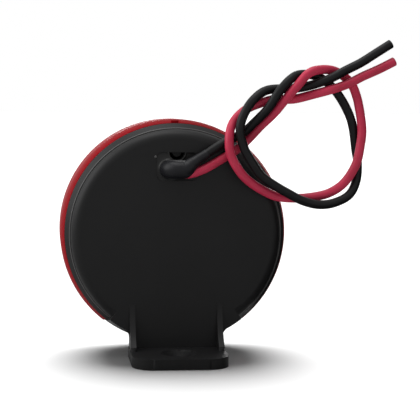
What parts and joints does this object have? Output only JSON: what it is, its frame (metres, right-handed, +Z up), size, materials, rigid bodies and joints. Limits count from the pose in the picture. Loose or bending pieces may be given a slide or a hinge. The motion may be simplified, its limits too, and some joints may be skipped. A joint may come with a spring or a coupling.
{
  "type": "piezo buzzer",
  "caption": "Round sealed piezo sounder: black flat-backed housing in a red slotted front cover, on a screw foot, with knotted flying leads.",
  "frame": {"origin": "centre of the foot's screw hole, on the surface that the foot stands on", "axes": "+Z up along the screw hole; +Y out of the flat back, where the leads come out; -Y out of the sound slots; the disc's axis runs along Y"},
  "size_m": [0.0863, 0.04, 0.083],
  "materials": {
    "housing_plastic": "fine matte moulding, semi-gloss on the flat back",
    "cover_plastic": "glossy red moulding",
    "seal_rubber": "smooth",
    "mesh_cloth": "fine woven mesh",
    "chamber_plastic": "matte moulding",
    "adhesive": "soft white adhesive",
    "plate_brass": "rolled sheet",
    "piezo_ceramic": "fired, unglazed",
    "silver_layer": "thin fired silver, satin",
    "solder": "bright solder",
    "wire_red": "smooth PVC insulation",
    "wire_black": "smooth PVC insulation",
    "board_green": "solder mask over glass-fibre board",
    "steel_screw": "zinc-plated",
    "ferrite": "ground ferrite",
    "copper_wire": "enamelled copper wire",
    "pin_tin": "tinned wire",
    "chip_plastic": "moulded epoxy",
    "can_aluminium": "drawn can",
    "can_sleeve": "shrunk plastic sleeve",
    "resistor_body": "lacquered",
    "diode_body": "moulded epoxy",
    "core_copper": "tinned copper strands",
    "sleeve_plastic": "smooth black sleeving",
    "sealant": "cured black potting, slightly glossy"
  },
  "bodies": {
    "root": {"rear_housing": "housing_plastic", "front_cover": "cover_plastic", "cover_seal": "seal_rubber", "dust_mesh": "mesh_cloth", "sound_chamber": "chamber_plastic", "plate_adhesive": "adhesive", "piezo_plate": "plate_brass", "piezo_ceramic": "piezo_ceramic", "ceramic_electrode": "silver_layer", "plate_solder": "solder", "plate_wire_red": "wire_red", "plate_wire_black": "wire_black", "circuit_board": "board_green", "board_screws": "steel_screw", "coil_core": "ferrite", "coil_winding": "copper_wire", "coil_pins": "pin_tin", "driver_chip": "chip_plastic", "driver_chip_legs": "pin_tin", "transistor": "chip_plastic", "transistor_legs": "pin_tin", "capacitor_can": "can_aluminium", "capacitor_sleeve": "can_sleeve", "capacitor_legs": "pin_tin", "resistors": "resistor_body", "resistor_leads": "pin_tin", "diode": "diode_body", "diode_leads": "pin_tin", "solder_joints": "solder", "tail_solder": "solder", "lead_tail_red": "wire_red", "lead_tail_black": "wire_black", "lead_tail_cores": "core_copper", "cable_sleeve": "sleeve_plastic", "cable_sealant": "sealant", "lead_red": "wire_red", "lead_black": "wire_black"}
  },
  "joints": []
}
